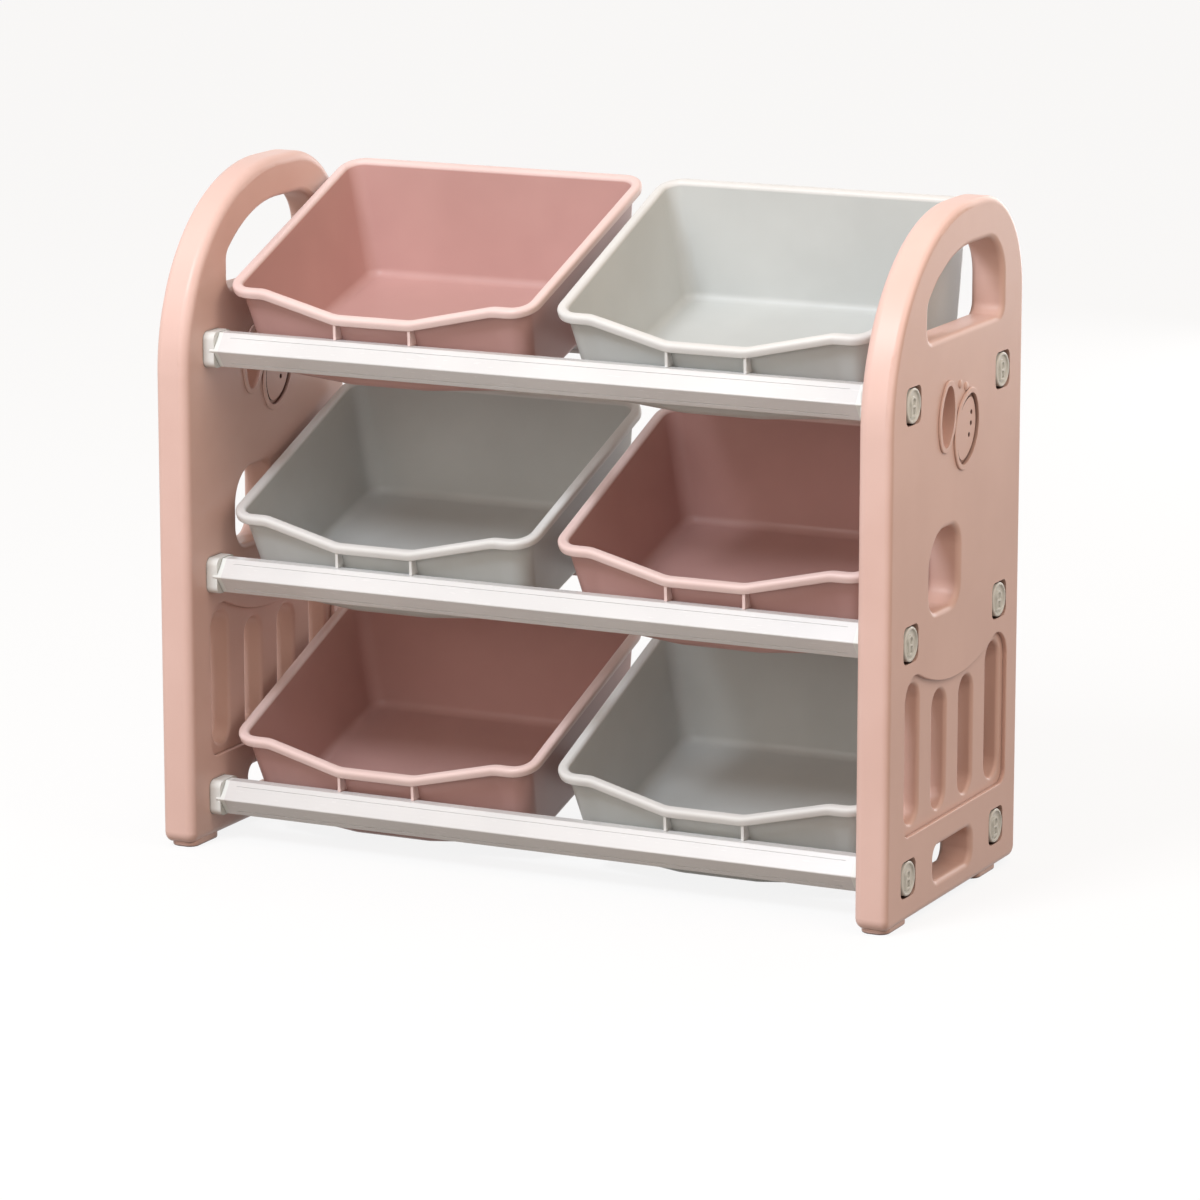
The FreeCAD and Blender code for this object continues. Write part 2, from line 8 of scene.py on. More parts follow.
# %% Load the frame
import json
import math

import bmesh
import bpy
import numpy as np
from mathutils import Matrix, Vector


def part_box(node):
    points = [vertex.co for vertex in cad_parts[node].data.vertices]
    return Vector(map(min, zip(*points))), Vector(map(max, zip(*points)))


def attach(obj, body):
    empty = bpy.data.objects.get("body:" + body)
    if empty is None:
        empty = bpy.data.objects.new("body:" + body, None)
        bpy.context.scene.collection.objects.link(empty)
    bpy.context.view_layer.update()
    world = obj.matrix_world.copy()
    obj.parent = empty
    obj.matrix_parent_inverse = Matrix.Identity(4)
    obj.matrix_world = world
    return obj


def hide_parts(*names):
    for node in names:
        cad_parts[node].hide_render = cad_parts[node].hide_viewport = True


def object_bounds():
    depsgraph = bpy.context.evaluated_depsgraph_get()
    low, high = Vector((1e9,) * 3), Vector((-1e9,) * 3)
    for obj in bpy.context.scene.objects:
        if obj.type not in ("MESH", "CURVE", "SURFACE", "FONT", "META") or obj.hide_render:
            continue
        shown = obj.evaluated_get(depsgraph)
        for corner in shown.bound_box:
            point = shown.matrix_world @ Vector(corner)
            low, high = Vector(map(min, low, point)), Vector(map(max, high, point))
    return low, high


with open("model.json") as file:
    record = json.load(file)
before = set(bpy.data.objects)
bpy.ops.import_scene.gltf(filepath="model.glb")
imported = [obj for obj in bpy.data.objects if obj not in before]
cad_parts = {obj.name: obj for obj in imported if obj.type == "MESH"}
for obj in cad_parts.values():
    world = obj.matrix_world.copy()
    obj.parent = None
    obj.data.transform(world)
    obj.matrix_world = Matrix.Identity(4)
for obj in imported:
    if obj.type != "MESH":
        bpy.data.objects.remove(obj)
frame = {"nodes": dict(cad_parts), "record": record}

nodes = frame["nodes"]
cad_box = [list(corner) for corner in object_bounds()]
tiers = ("bottom", "middle", "top")
sides = ("left", "right")
rows = ("front", "rear")
print("nodes", len(nodes), "box", [[round(v, 4) for v in corner] for corner in cad_box])

# %% [markdown]
# ## Surfaces from grids
# A moulded shell is one sheet bent through space, so it is easiest to describe as a grid: one
# parameter runs round the bin, the other runs along its wall from the floor to the lip and back.
# Numpy works out all the points at once, and Blender only gets the finished arrays. A grid whose
# first or last row shrinks to one point has doubled vertices there, so doubles are merged.

# %% Grid to mesh
crease = math.radians(38)
merge_reach = 1e-6
sliver_reach = 1e-7


def grid_faces(row_count, column_count):
    """Quads between neighbouring rows, with the last column joined to the first."""
    index = np.arange(row_count * column_count).reshape(row_count, column_count)
    after = np.roll(index, -1, axis=1)
    quads = np.stack([index[:-1], after[:-1], after[1:], index[1:]], axis=-1)
    return quads.reshape(-1, 4)


def surface_piece(name, points, faces, rim=0):
    """Object at the origin from any grid of points and an (m, 4) array of quads.

    rim is a value for each point, or one for all, kept on the mesh for its finish to read; the bins' finish
    paints a paler sheen where it is 1.
    """
    points = points.reshape(-1, 3)
    mesh = bpy.data.meshes.new(name)
    mesh.from_pydata(points, [], faces)
    values = np.broadcast_to(np.asarray(rim, dtype=np.float32), len(points))
    mesh.attributes.new("rim", "FLOAT", "POINT").data.foreach_set("value", values.copy())
    work = bmesh.new()
    work.from_mesh(mesh)
    bmesh.ops.remove_doubles(work, verts=work.verts, dist=merge_reach)
    bmesh.ops.dissolve_degenerate(work, edges=work.edges, dist=sliver_reach)
    bmesh.ops.recalc_face_normals(work, faces=work.faces)
    work.to_mesh(mesh)
    work.free()
    mesh.polygons.foreach_set("use_smooth", np.ones(len(mesh.polygons), dtype=bool))
    mesh.set_sharp_from_angle(angle=crease)
    piece = bpy.data.objects.new(name, mesh)
    bpy.context.scene.collection.objects.link(piece)
    return piece


print("quads of a 3 by 4 grid:", len(grid_faces(3, 4)))

# %% [markdown]
# ## The loop round a bin
# Seen from above, the bin is a box with a front that bows forward in three straight runs. Each
# corner is rounded by an arc that leaves one run and enters the next. A bevel could round a plain
# box, but not by another radius in each row. So the corners of every row are held in one array, and
# the arcs of all rows are bent in the same step. An arc is found from its corner and the two
# directions that leave it: its ends lie radius / tan(half angle) along them.

# %% Rounded loops
corner_steps = 9
run_steps = 6


def unit(vectors):
    """Vectors of length 1 in the same directions."""
    return vectors / np.linalg.norm(vectors, axis=-1, keepdims=True)


def rounded_rows(corners, radii):
    """Rows of points round closed polygons with arcs at their corners.

    corners is (rows, corners, 3) and radii is (rows, corners). A point of an arc is
    centre + ((start - centre) * sin(a - t) + (stop - centre) * sin(t)) / sin(a),
    where a is the angle that the arc turns through and t runs from 0 to a. The points of a straight
    run share it evenly.
    """
    back = unit(np.roll(corners, 1, axis=1) - corners)
    ahead = unit(np.roll(corners, -1, axis=1) - corners)
    half = np.arccos(np.clip((back * ahead).sum(-1), -1, 1)) / 2
    run = (radii / np.tan(half))[..., None]
    start = corners + back * run
    stop = corners + ahead * run
    centre = corners + unit(back + ahead) * (radii / np.sin(half))[..., None]
    turn = (math.pi - 2 * half)[..., None, None]
    t = np.linspace(0, 1, corner_steps)[:, None] * turn
    from_start = (start - centre)[:, :, None] * np.sin(turn - t)
    from_stop = (stop - centre)[:, :, None] * np.sin(t)
    arcs = centre[:, :, None] + (from_start + from_stop) / np.sin(turn)
    share = np.linspace(0, 1, run_steps + 1)[1:-1, None]
    following = np.roll(start, -1, axis=1)
    lines = stop[:, :, None] + (following - stop)[:, :, None] * share
    return np.concatenate([arcs, lines], axis=2).reshape(len(corners), -1, 3)


square = np.array([[[0, 0, 0], [1, 0, 0], [1, 1, 0], [0, 1, 0.0]]])
print("points round a rounded square:", rounded_rows(square, np.full((1, 4), 0.2)).shape[1])

# %% [markdown]
# ## The wall of a bin
# Cut through the wall and you see one profile: flat floor, round bend, leaning wall, then the rolled
# lip with its skirt, and back down the inside. Each row of the grid has an offset from the outer wall
# and a rise. Rows of the floor lie level, while rows of the lip follow the rim, which is low in the
# middle of the front and high at the rear. A follow value of 0 or 1 picks between the two. The floor
# is closed by rows that shrink towards its middle.

# %% Profile of the wall
wall = 0.0024
floor_thick = 0.0026
floor_round = 0.009
floor_shrinks = np.array([0, 0.35, 0.7])
lip_overhang = 0.009
lip_height = 0.0095
lip_wall = 0.0022
lip_round = 0.0046
brim_round = 0.0036
skirt_round = 0.0010
# rim_fade is how far down the inside of the wall the lip's painted sheen fades out.
rim_fade = 0.0015
bend_steps = 8
skirt_steps = 4


def quarter(radius, steps=bend_steps):
    """Sine and cosine sides of a quarter turn of the given radius, from angle 0 to 90 degrees."""
    turn = np.linspace(0, math.pi / 2, steps)
    return radius * np.sin(turn), radius * np.cos(turn)


def level_rows(points, shrink):
    """Rows of the floor: the offset and rise of each point, no follow, its shrink and no rim."""
    none = np.zeros(len(points))
    return np.column_stack([points, none, none + shrink, none])


def wall_profile():
    """Rows (offset, rise, follow, shrink, rim) from the middle of the underside to that of the inside.

    Each bend is a quarter circle. rim is 1 on the rolled lip, and fades to 0 a little way down the
    inside of the wall; it marks where the bin's finish paints the lip's sheen.
    """
    s, c = quarter(floor_round)
    outer_bend = np.stack([s - floor_round, floor_round - c], axis=1)
    inner_bend = outer_bend[::-1] + np.array([-wall, floor_thick])
    under = lip_height - lip_wall
    skirt_in = lip_overhang - lip_wall
    s, c = quarter(skirt_round, skirt_steps)
    foot_in = np.stack([skirt_in + skirt_round - c, skirt_round - s], axis=1)
    foot_out = np.stack([lip_overhang - skirt_round + s, skirt_round - c], axis=1)
    s, c = quarter(lip_round)
    crown = np.stack([lip_overhang - lip_round + c, lip_height - lip_round + s], axis=1)
    s, c = quarter(brim_round)
    brim = np.stack([brim_round - wall - s, lip_height - brim_round + c], axis=1)
    fade = brim[-1] - [[0, rim_fade]]
    lip = np.concatenate([[[0, under], [skirt_in, under]], foot_in, foot_out, crown, brim, fade])
    ones = np.ones(len(lip))
    rim = ones.copy()
    rim[[0, 1, -1]] = 0
    floor_low = level_rows(np.repeat(outer_bend[:1], len(floor_shrinks), axis=0), floor_shrinks)
    floor_high = level_rows(np.repeat(inner_bend[-1:], len(floor_shrinks), axis=0), floor_shrinks[::-1])
    lip_rows = np.column_stack([lip, ones, ones, rim])
    return np.concatenate([
        floor_low, level_rows(outer_bend, 1), lip_rows, level_rows(inner_bend, 1), floor_high])


print("rows of the wall profile:", len(wall_profile()))

# %% [markdown]
# ## One bin
# The four sides lean outwards by their own draft angles, as a moulded bin must to leave its mould.
# A loft could be built from a few sections, but the rim isn't level, so each corner of each row gets
# its own height. The finished bin is turned by its tilt and moved so that its box meets the box of
# the bin it replaces: the middle across, and the rear and lower edges.

# %% Bin surface
bin_tilt = math.radians(16)
bin_length = 0.2655
front_height = 0.0925
front_dip = 0.0155
rear_height = 0.117
front_draft = math.tan(math.radians(5.5))
side_draft = math.tan(math.radians(7))
rear_draft = math.tan(math.radians(9.5))
bow_depth = 0.017
bow_half_flat = 0.04296
bow_half_run = 0.13208
bow_round = 0.040
corner_round = 0.018


def bin_points(lip_half_width):
    """Points of the bin in its own frame: across, along from the front, up from its floor.

    Each row has eight corners. A corner lies at its wall's place plus offset, leaning out by
    height * draft, and its height is rise + follow * rim height of that corner.
    """
    offset, rise, follow, shrink = wall_profile().T[:4, :, None]
    rim = np.array([rear_height, front_height, front_height, front_height - front_dip])
    height = rise + follow * np.concatenate([rim, rim[::-1]])
    floor_half = lip_half_width - lip_overhang - rear_height * side_draft
    half = floor_half + height * side_draft + offset
    ahead = -height * front_draft - offset
    back = bin_length + height * rear_draft + offset
    ones = np.ones_like(offset[:, 0])
    across = np.stack([
        -half[:, 0], -half[:, 1], -bow_half_run * ones, -bow_half_flat * ones,
        bow_half_flat * ones, bow_half_run * ones, half[:, 6], half[:, 7]], axis=1)
    along = np.stack([
        back[:, 0], ahead[:, 1] + bow_depth, ahead[:, 2] + bow_depth, ahead[:, 3],
        ahead[:, 4], ahead[:, 5] + bow_depth, ahead[:, 6] + bow_depth, back[:, 7]], axis=1)
    outer = corner_round + offset
    bow = np.full_like(offset, bow_round)
    radii = np.concatenate([outer, outer, bow, bow, bow, bow, outer, outer], axis=1)
    loops = rounded_rows(np.stack([across, along, height], axis=-1), radii)
    middle = np.array([0, bin_length / 2, 0])
    keep = np.stack([shrink, shrink, np.ones_like(shrink)], axis=-1)
    return middle + (loops - middle) * keep


def tilted(points):
    """Points turned about the cross axis by the bin's tilt, front low and rear high."""
    x, y, z = points[..., 0], points[..., 1], points[..., 2]
    c, s = math.cos(bin_tilt), math.sin(bin_tilt)
    return np.stack([x, y * c - z * s, y * s + z * c], axis=-1)


def place_in_box(points, low, high):
    """Shift that brings the points to the middle, rear and lower faces of a box."""
    least, most = points.reshape(-1, 3).min(0), points.reshape(-1, 3).max(0)
    middle = (low[0] + high[0]) / 2 - (least[0] + most[0]) / 2
    return np.array([middle, high[1] - most[1], low[2] - least[2]])


low, high = (np.array(corner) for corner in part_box("top_left_bin"))
sample = tilted(bin_points((high[0] - low[0]) / 2))
spread = np.ptp(sample.reshape(-1, 3), axis=0)
print("bin surface", np.round(spread, 4), "frame", np.round(high - low, 4))

# %% [markdown]
# ## Finishes: a small language for shaders
# A Blender material is a graph of nodes joined at sockets. Building the graph line by line is hard
# to read, so one small class wraps a socket. Sums and products of wrapped sockets add Math nodes,
# and one method adds any other node. A finish can then be read as a formula.

# %% Wire class


class Wire:
    """A socket of a material's node tree; arithmetic on it adds Math nodes."""

    def __init__(self, tree, socket):
        self.tree = tree
        self.socket = socket

    def make(self, kind, settings, sockets, out=0):
        """Adds a node, sets its settings or ramp stops, then its sockets, and wraps one output."""
        node = self.tree.nodes.new(kind)
        for name, value in settings.items():
            if name == "stops":
                for element, (place, colour) in zip(node.color_ramp.elements, value):
                    element.position = place
                    element.color = (*colour, 1)
            else:
                setattr(node, name, value)
        for name, value in sockets.items():
            if isinstance(value, Wire):
                self.tree.links.new(value.socket, node.inputs[name])
            else:
                node.inputs[name].default_value = value
        return Wire(self.tree, node.outputs[out])

    def math(self, operation, first, second):
        """Result of a Math node on two values or wires."""
        return self.make("ShaderNodeMath", {"operation": operation}, {0: first, 1: second})

    def __add__(self, other):
        return self.math("ADD", self, other)

    def __sub__(self, other):
        return self.math("SUBTRACT", self, other)

    def __rsub__(self, other):
        return self.math("SUBTRACT", other, self)

    def __mul__(self, other):
        return self.math("MULTIPLY", self, other)

    __radd__ = __add__
    __rmul__ = __mul__

    def noise(self, scale, detail, roughness=0.5):
        """Noise of about scale cells in a metre, from 0 to 1, at the place that this wire gives."""
        return self.make("ShaderNodeTexNoise", {}, {
            "Vector": self, "Scale": scale, "Detail": detail, "Roughness": roughness})

    def ramp(self, low, high):
        """This value stretched so that low becomes 0 and high becomes 1, clamped to that range."""
        settings = {"clamp": True, "interpolation_type": "SMOOTHSTEP"}
        return self.make("ShaderNodeMapRange", settings, {"Value": self, "From Min": low, "From Max": high})

    def tint(self, first, second):
        """Colour that runs from first to second as this value goes from 0 to 1."""
        stops = [(0.0, first), (1.0, second)]
        return self.make("ShaderNodeValToRGB", {"stops": stops}, {"Fac": self})

    def mix(self, first, second):
        """Colour between two colours, the first where this value is 0 and the second where it is 1."""
        return self.make("ShaderNodeMix", {"data_type": "RGBA"}, {0: self, 6: first, 7: second}, out=2)

    def stretched(self, scale):
        """This place with each axis multiplied by its own scale."""
        return self.make("ShaderNodeMapping", {}, {"Vector": self, "Scale": scale})

    def bump(self, strength):
        """Normal of a surface raised by this value in metres."""
        return self.make("ShaderNodeBump", {}, {"Height": self, "Strength": strength, "Distance": 1.0})


print("wire methods:", [name for name in vars(Wire) if not name.startswith("_")])

# %% [markdown]
# ## Where a finish starts
# Every finish starts in the same way: a new material, its main shader, and the place on the piece.
# The place is in metres, so the scale of a noise says how many cells fit in a metre of plastic.
# Colours are easiest to choose as screen colours from 0 to 255, while a shader wants linear light.

# %% Start a finish


def start_finish(name):
    """A new material, its main shader, and the wire of the place on the piece in metres."""
    material = bpy.data.materials.new(name)
    material.use_nodes = True
    tree = material.node_tree
    shader = tree.nodes["Principled BSDF"]
    place = Wire(tree, tree.nodes.new("ShaderNodeTexCoord").outputs["Object"])
    return material, shader, place


def feed(shader, wires, values):
    """Links wires to a shader's sockets and sets its fixed values."""
    for name, wire in wires.items():
        wire.tree.links.new(wire.socket, shader.inputs[name])
    for name, value in values.items():
        shader.inputs[name].default_value = value


def paint(red, green, blue):
    """Linear colour of a screen colour s: ((s + 0.055) / 1.055) ^ 2.4, or s / 12.92 near black."""
    screen = np.array([red, green, blue]) / 255
    linear = np.where(screen > 0.04045, ((screen + 0.055) / 1.055) ** 2.4, screen / 12.92)
    return tuple(float(value) for value in linear)


print("mid grey in linear light:", round(paint(128, 128, 128)[0], 3))

# %% [markdown]
# ## Satin plastic of the panels, bins and fittings
# Blow-moulded and injection-moulded parts have a fine even grain from the mould, and the colour
# drifts a little where the plastic was hotter. A cloudy noise moves the colour between two close
# tones, a much finer noise drives the bump, and both touch the roughness, so highlights break up.
# The rolled lip of a bin has paler tones of its own, picked by the rim value of the mesh: a painted
# sheen that stands for the light on its round top. Narrow hollows get painted shade, which an
# occlusion node finds.

# %% Satin finish
cloud_cells, cloud_low, cloud_high = 7, 0.3, 0.7
speck_cells, speck_low, speck_high = 420, 0.72, 0.8
grain_cells = 1400
swell_cells = 55
swell_height = 0.00012
skin_strength = 0.55
cloud_share, grain_share, speck_share = 0.75, 0.25, 0.1
cloud_rough, grain_rough = 0.05, 0.06
# The occlusion value is stretched between hollow_low and hollow_high to paint shade into hollows.
hollow_low, hollow_high = 0.15, 0.75
panel_reach = 0.008
fitting_reach = 0.003
plastic_ior = 1.5


def satin_finish(name, deep, pale, gloss, grain_height, mirror, edge=None, painted_shade=None, reach=panel_reach):
    """Satin moulded plastic between two close tones, with mould grain and a faint wavy skin.

    edge is a pair of paler tones for the rim of a bin, a painted sheen that stands for the light on
    its rolled lip; groove is the colour of the painted shade that darkens narrow hollows; reach is how
    far it looks for the hollow's walls, in metres.
    """
    material, shader, place = start_finish(name)
    cloud = place.noise(cloud_cells, detail=3, roughness=0.55).ramp(cloud_low, cloud_high)
    grain = place.noise(grain_cells, detail=2, roughness=0.6)
    swell = place.noise(swell_cells, detail=1)
    speck = place.noise(speck_cells, detail=1).ramp(speck_low, speck_high)
    tone = cloud * cloud_share + grain * grain_share - speck * speck_share
    skin = (grain * grain_height + swell * swell_height).bump(skin_strength)
    rough = gloss + cloud * cloud_rough + grain * grain_rough
    colour = tone.tint(deep, pale)
    # Paler tones where the mesh's rim value is 1: a painted sheen on the bin's lip.
    if edge:
        rim = place.make("ShaderNodeAttribute", {"attribute_name": "rim"}, {}, out="Fac")
        colour = rim.mix(colour, tone.tint(*edge))
    # Painted shade: where the occlusion node finds walls close by, the colour darkens.
    if painted_shade:
        open_sky = place.make("ShaderNodeAmbientOcclusion", {"samples": 8}, {"Distance": reach}, out="AO")
        colour = open_sky.ramp(hollow_low, hollow_high).mix((*painted_shade, 1), colour)
    feed(shader, {"Base Color": colour, "Roughness": rough, "Normal": skin},
         {"IOR": plastic_ior, "Specular IOR Level": mirror})
    return material


coarse_grain = 0.00003
fine_grain = 0.00002
finishes = {
    "panel_pink": satin_finish(
        "panel_pink_satin", paint(221, 187, 177), paint(229, 197, 188), 0.30, coarse_grain, 0.25,
        # The dark colour below is painted shade in the panel's narrow hollows.
        painted_shade=paint(64, 40, 34)),
    # The bins' edge tones are paler than their walls: a painted sheen on the rolled lip.
    "bin_pink": satin_finish(
        "bin_pink_satin", paint(188, 149, 144), paint(198, 159, 154), 0.30, fine_grain, 0.3,
        edge=(paint(224, 199, 195), paint(230, 207, 203))),
    "bin_white": satin_finish(
        "bin_white_satin", paint(190, 194, 193), paint(200, 204, 203), 0.30, fine_grain, 0.3,
        edge=(paint(213, 214, 213), paint(220, 221, 220))),
    "fitting_grey": satin_finish(
        "fitting_grey_satin", paint(217, 221, 219), paint(226, 230, 228), 0.34, coarse_grain, 0.4,
        # The dark colour below is painted shade in the narrow hollows of the fittings.
        painted_shade=paint(72, 68, 62), reach=fitting_reach),
}
print("satin finishes:", [material.name for material in finishes.values()])

# %% [markdown]
# ## Drawn plastic of the rails
# The rails are drawn through a die, so faint lines run along them. Stretching the noise a thousand
# times along the rail turns its cells into such lines. They only show where light grazes the face,
# so they go into the bump and the roughness and hardly into the colour.

# %% Rail finish
line_stretch = (0.6, 900, 900)
scuff_stretch = (60, 500, 500)
scuff_low, scuff_high = 0.66, 0.8
rail_cloud_cells = 9
rail_cloud_share, line_share = 0.6, 0.4
line_height = 0.00003
line_strength = 0.5
rail_gloss = 0.22
line_rough, scuff_rough = 0.06, 0.1
rail_mirror = 0.5


def drawn_finish(name, deep, pale):
    """Glossy drawn plastic with faint lines along the rail, which runs across the cabinet."""
    material, shader, place = start_finish(name)
    lines = place.stretched(line_stretch).noise(1, detail=2)
    cloud = place.noise(rail_cloud_cells, detail=2).ramp(cloud_low, cloud_high)
    scuff = place.stretched(scuff_stretch).noise(1, detail=1).ramp(scuff_low, scuff_high)
    tone = cloud * rail_cloud_share + lines * line_share
    skin = (lines * line_height).bump(line_strength)
    rough = rail_gloss + lines * line_rough + scuff * scuff_rough
    feed(shader, {"Base Color": tone.tint(deep, pale), "Roughness": rough, "Normal": skin},
         {"IOR": plastic_ior, "Specular IOR Level": rail_mirror})
    return material


finishes["rail_white"] = drawn_finish("rail_white_drawn", paint(211, 212, 213), paint(220, 221, 222))
print("rail finish:", finishes["rail_white"].name)

# %% [markdown]
# ## Dress the frame
# The record says which finish each piece of the cabinet takes. Panels, rails and plugs keep the
# shape that the frame gives them and only change their material. A new piece is dressed in the same
# way, and then told its slot and the body that it rides on.

# %% Finishes on the nodes
slots = {part["node"]: part["material_slot"] for part in frame["record"]["subparts"]}


def dress(piece, slot):
    """Puts a slot's finish on every material slot of a piece."""
    if not piece.material_slots:
        piece.data.materials.append(finishes[slot])
    for place in piece.material_slots:
        place.material = finishes[slot]


def add_to_body(piece, slot, body):
    """Dresses a new piece and lets it ride on a body."""
    dress(piece, slot)
    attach(piece, body)


for node, piece in nodes.items():
    dress(piece, slots[node])
print("dressed nodes:", len(nodes))

# %% [markdown]
# ## Ribs under the lip
# Two thin ribs under the front lip carry the bin on its rail. A rib is a plate: its outline is five
# points, closed by a point in the middle of each side. Two run inside the skirt of the lip, one lies
# in the wall, and two rest just over the top of the rail.

# %% Rib surface
rib_thick = 0.003
rib_reach = 0.007
rail_half_top = 0.0065
seat_gap = 0.0003


def rib_points(side, shift, rail_low, rail_high):
    """Closed plate under the lip: rows are its middle, its two outlines and its other middle.

    The rear edge leans as the front wall does, by tan(tilt + draft), down to the rail.
    """
    top = front_height - front_dip
    inside = top + lip_height - lip_wall
    skirt = -top * front_draft - lip_overhang + lip_wall / 2
    in_wall = wall / 2 - inside * front_draft
    upper = tilted(np.array([[0, skirt, top], [0, skirt, inside], [0, in_wall, inside]]))
    upper = upper + [0, shift[1], shift[2]]
    seat = rail_high[2] + seat_gap
    ahead = (rail_low[1] + rail_high[1]) / 2 + rail_half_top - rib_reach
    lean = math.tan(bin_tilt + math.atan(front_draft))
    behind = upper[2, 1] + (upper[2, 2] - seat) * lean
    outline = np.concatenate([upper, [[0, behind, seat], [0, ahead, seat]]])
    near = shift[0] + side * bow_half_flat
    left, right = (outline + [near + way * rib_thick / 2, 0, 0] for way in (-1, 1))
    middles = [np.repeat(plate.mean(0)[None], len(plate), axis=0) for plate in (left, right)]
    return np.stack([middles[0], left, right, middles[1]])


print("points of a rib:", rib_points(1, np.zeros(3), *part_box("top_front_rail")).shape[:2])

# %% [markdown]
# ## Six bins on their bodies
# Every bin is the same moulding, so one function makes them all. Each new bin stands for the bin
# of the frame, rides on the same body and takes its colour from that bin's slot.

# %% Make the bins


def make_bin(tier, side):
    """A bin and its ribs, in place of the frame's bin."""
    node = f"{tier}_{side}_bin"
    low, high = (np.array(corner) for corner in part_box(node))
    points = tilted(bin_points((high[0] - low[0]) / 2))
    shift = place_in_box(points, low, high)
    # rim picks the lip rows, where the bins' finish paints its sheen.
    rim = np.repeat(wall_profile()[:, 4], points.shape[1])
    shell = surface_piece(f"{node}_shell", points + shift, grid_faces(*points.shape[:2]), rim)
    rail_low, rail_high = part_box(f"{tier}_front_rail")
    plates = np.stack([rib_points(way, shift, rail_low, rail_high) for way in (-1, 1)])
    faces = grid_faces(*plates.shape[1:3])
    faces = np.concatenate([faces, faces + plates[0].size // 3])
    # rim 1 gives the ribs the lip's paler painted sheen all over.
    ribs = surface_piece(f"{node}_ribs", plates, faces, 1)
    for piece in (shell, ribs):
        add_to_body(piece, slots[node], f"{node}_body")
    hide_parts(node)
    return shell


shells = [make_bin(tier, side) for tier in tiers for side in sides]
print("bins:", len(shells), "faces each:", len(shells[0].data.polygons))

# %% [markdown]
# ## The face of a lock cap
# A cap is a round head with a raised rim and, in its shallow dish, the outline of a padlock: a bow
# above a square. It could be a spun profile, but the sign isn't round, so the head is a surface in
# polar form: the depth of the face depends on the distance from the rim, the bow and the square.

# %% Cap surface
head_height = 0.0125
head_round = 0.0016
rim_width = 0.0026
dish_depth = 0.0019
line_width = 0.0016
bow_radius = 0.0052
bow_rise = 0.0030
square_half = 0.0046
square_drop = 0.0056
slope = 0.0005
stem_radius = 0.008
stem_tip = 0.001
face_rings, face_spokes, edge_steps = 72, 144, 6


def step(value, start, width):
    """Smooth rise from 0 to 1 as the value goes from start to start + width: 3 t^2 - 2 t^3."""
    t = np.clip((value - start) / width, 0, 1)
    return t * t * (3 - 2 * t)


def ridge(value, middle):
    """1 where the value is within half a line's width of the middle, with smooth flanks to 0."""
    return 1 - step(abs(value - middle), line_width / 2, slope)


def cap_points(outer_x, inner_x, y, z, head_radius):
    """Rows from the middle of the face over the rim and down the stem to its tip.

    The face's depth is dish * (1 - rim) * (1 - bow) * (1 - square). The bow is a ridge at one
    distance from its centre, kept above the square, and the square a ridge of max(|across|, |up|).
    """
    turn = np.linspace(0, 2 * math.pi, face_spokes, endpoint=False)
    r, a = np.meshgrid(np.linspace(0, head_radius - head_round, face_rings), turn, indexing="ij")
    across, up = r * np.cos(a), r * np.sin(a)
    rim = step(r, head_radius - rim_width - slope, slope)
    bow = ridge(np.hypot(across, up - bow_rise), bow_radius)
    bow = bow * step(up, square_half - square_drop, slope)
    square = ridge(np.maximum(abs(across), abs(up + square_drop)), square_half)
    depth = dish_depth * (1 - rim) * (1 - bow) * (1 - square)
    s, c = quarter(head_round, edge_steps)
    length = abs(outer_x - inner_x)
    stem = [head_radius, stem_radius, stem_radius, stem_radius - stem_tip, 0]
    radius = np.concatenate([head_radius - head_round + s, stem])
    back = np.concatenate([head_round - c, [head_height, head_height, length - stem_tip, length, length]])
    r = np.concatenate([r, np.repeat(radius[:, None], len(turn), axis=1)])
    depth = np.concatenate([depth, np.repeat(back[:, None], len(turn), axis=1)])
    way = math.copysign(1, inner_x - outer_x)
    return np.stack([outer_x + way * depth, y + r * np.cos(turn), z + r * np.sin(turn)], axis=-1)


print("points of a cap:", cap_points(0, 0.03, 0, 0, 0.0165).shape[:2])

# %% [markdown]
# ## Twelve lock caps
# The caps sit in the sockets of the panels' outer faces, so a cap on the right looks to the right.
# The box of the frame's cap gives its place, its radius and the length of its stem.

# %% Make the lock caps


def make_cap(tier, row, side):
    """A lock cap in place of the frame's cap."""
    node = f"{tier}_{row}_{side}_lock_cap"
    low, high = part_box(node)
    outer_x, inner_x = (high[0], low[0]) if side == "right" else (low[0], high[0])
    y, z = (low[1] + high[1]) / 2, (low[2] + high[2]) / 2
    points = cap_points(outer_x, inner_x, y, z, (high[1] - low[1]) / 2)
    cap = surface_piece(f"{node}_head", points, grid_faces(*points.shape[:2]))
    add_to_body(cap, slots[node], "frame")
    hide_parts(node)
    return cap


caps = [make_cap(tier, row, side) for tier in tiers for row in rows for side in sides]
print("lock caps:", len(caps), "faces each:", len(caps[0].data.polygons))

# %% [markdown]
# ## Beads over the wings
# On the outer face of each panel, two small beads stand between the tips of the moulded wings. A bead
# is a low dome, whose height is an ellipse of the radius. Its foot goes a little way into the panel,
# so that no gap shows round it.

# %% Make the beads
bead_places = ((0.0026, 0.5268), (0.0180, 0.5222))
bead_radius = 0.0045
bead_height = 0.0019
bead_foot = 0.0006
panel_lip = 0.002
dome_steps, dome_spokes = 10, 40


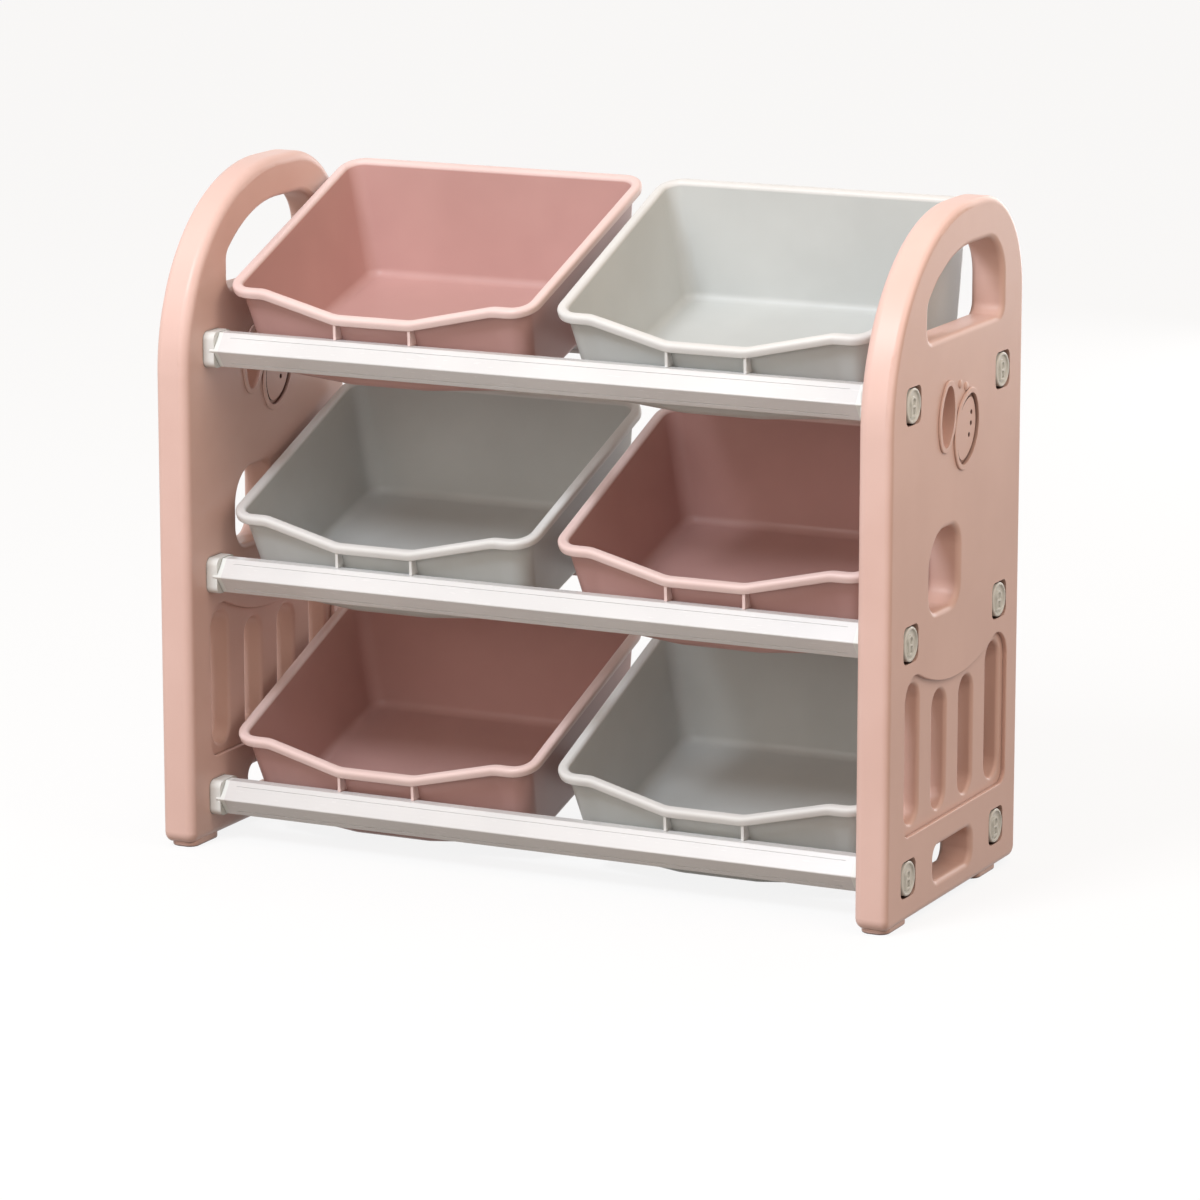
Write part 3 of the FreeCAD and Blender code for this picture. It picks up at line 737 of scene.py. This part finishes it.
def bead_points(face_x, way, y, z):
    """Rows from the top of the dome, height * sqrt(1 - (r / radius)^2), to the middle of its foot."""
    s, c = quarter(1, dome_steps)
    radius = bead_radius * np.concatenate([s, [1, 0]])
    height = np.concatenate([bead_height * c, [-bead_foot, -bead_foot]])
    turn = np.linspace(0, 2 * math.pi, dome_spokes, endpoint=False)
    r, a = np.meshgrid(radius, turn, indexing="ij")
    x = face_x + way * np.broadcast_to(height[:, None], r.shape)
    return np.stack([x, y + r * np.cos(a), z + r * np.sin(a)], axis=-1)


for side, way in zip(sides, (-1, 1)):
    face_x = (cad_box[1][0] - panel_lip) * way
    for count, (y, z) in enumerate(bead_places, 1):
        points = bead_points(face_x, way, y, z)
        bead = surface_piece(f"{side}_bead_{count}", points, grid_faces(*points.shape[:2]))
        add_to_body(bead, "panel_pink", "frame")
print("beads:", len(sides) * len(bead_places))

# %% [markdown]
# ## Floor
# The cabinet stands on a plain pale floor that runs into a white backdrop. A truly white floor would
# throw so much light up that the undersides lose their shade. So it is a brown dusty floor to the
# light that bounces, and a glowing white one to the eye and in reflections. A little of what the eye
# sees is left to the lamps, so the floor still takes the cabinet's shadow.

# %% Make the floor
floor_half = 12.0
floor_glow = 0.87
dust_cells = 3
dust_deep, dust_pale = (0.20, 0.16, 0.13), (0.23, 0.19, 0.16)
floor_white = (0.9, 0.9, 0.9, 1)
white = (1, 1, 1, 1)


def seen_rays(tree):
    """1 for the rays that the eye sees directly, in a mirror or through glass, and 0 for all others."""
    light_path = tree.nodes.new("ShaderNodeLightPath").outputs
    direct = Wire(tree, light_path["Is Camera Ray"])
    mirrored = Wire(tree, light_path["Is Glossy Ray"])
    through = Wire(tree, light_path["Is Transmission Ray"])
    return direct + mirrored + through


floor_mesh = bpy.data.meshes.new("floor")
corners = np.array([[-1, -1, 0], [1, -1, 0], [1, 1, 0], [-1, 1, 0]]) * floor_half
floor_mesh.from_pydata(corners, [], [(0, 1, 2, 3)])
floor = bpy.data.objects.new("floor", floor_mesh)
bpy.context.scene.collection.objects.link(floor)
floor_paint, shader, place = start_finish("floor_paint")
tree = floor_paint.node_tree
seen = seen_rays(tree)
dust = seen.mix(place.noise(dust_cells, detail=2).tint(dust_deep, dust_pale), floor_white)
feed(shader, {"Base Color": dust}, {"Roughness": 0.9, "Specular IOR Level": 0.1})
glow = place.make("ShaderNodeEmission", {}, {"Color": white, "Strength": 1.0})
matt = Wire(tree, shader.outputs[0])
mixed = place.make("ShaderNodeMixShader", {}, {0: seen * floor_glow, 1: matt, 2: glow})
tree.links.new(mixed.socket, tree.nodes["Material Output"].inputs["Surface"])
floor_mesh.materials.append(floor_paint)
print("floor:", 2 * floor_half, "m wide")

# %% [markdown]
# ## Light
# The key lamp stands high in front and a little to the left, and is slightly cool. A soft lamp lower
# down fills the front, a small warm one close by on the right wakes the outer face, and a wide one
# lights the back. The world adds a warm shade from all round, while it shows white to the eye.

# %% Lamps and world
shade = (0.58, 0.475, 0.385, 1)
lamps = {
    "key": ((-0.6, -2.6, 2.8), 1.2, 98, (0.94, 1.0, 1.08)),
    "front": ((-0.6, -3.4, 0.9), 1.6, 23, (1.0, 0.93, 0.88)),
    "back": ((0.6, 3.2, 0.5), 2.0, 36, (0.98, 1.0, 1.02)),
    "fill": ((1.3, -0.3, 1.1), 0.8, 6.5, (1.0, 0.84, 0.70)),
}


def soft_lamp(name, away, aim, size, power, colour):
    """Square area lamp that stands away from the aim by a vector, in metres, and is turned to it."""
    data = bpy.data.lights.new(name, "AREA")
    data.size = size
    data.energy = power
    data.color = colour
    lamp = bpy.data.objects.new(name, data)
    lamp.location = aim + away
    turn = math.atan2(away[0], -away[1])
    tilt = math.atan2(math.hypot(away[0], away[1]), away[2])
    lamp.rotation_euler = (tilt, 0, turn)
    bpy.context.scene.collection.objects.link(lamp)


world = bpy.data.worlds.new("studio")
bpy.context.scene.world = world
world.use_nodes = True
tree = world.node_tree
sky = seen_rays(tree).mix(shade, white)
tree.links.new(sky.socket, tree.nodes["Background"].inputs["Color"])
middle = (np.array(cad_box[0]) + np.array(cad_box[1])) / 2
for name, (away, size, power, colour) in lamps.items():
    soft_lamp(name, away, middle, size, power, colour)

# %% [markdown]
# ## Camera
# The photographer stood well away, a little above the cabinet and to its right, with a long lens. So
# the rails stay almost parallel. Angles round and above a target are easier to read than a place and
# a turn, and both follow from them.

# %% Place the camera
view_azimuth = math.radians(25.80)
view_elevation = math.radians(12.18)
view_distance = 5.734
view_target = np.array([-0.01305, 0.0575, 0.25701])
camera_data = bpy.data.cameras.new("camera")
camera_data.lens = 164.7
camera_data.sensor_width = 36
camera_data.clip_end = 100
camera = bpy.data.objects.new("camera", camera_data)
level = math.cos(view_elevation)
direction = np.array([
    math.sin(view_azimuth) * level, -math.cos(view_azimuth) * level, math.sin(view_elevation)])
camera.location = view_target + direction * view_distance
camera.rotation_euler = (math.pi / 2 - view_elevation, 0, view_azimuth)
bpy.context.scene.collection.objects.link(camera)
bpy.context.scene.camera = camera
bpy.context.scene.view_settings.view_transform = "Standard"
print("camera at", [round(v, 3) for v in camera.location])

# %% [markdown]
# ## Update the view layer
# The dressed cabinet is meant to fill the same box as the frame. This cell only brings the view layer up to
# date.

# %% Finish
bpy.context.view_layer.update()
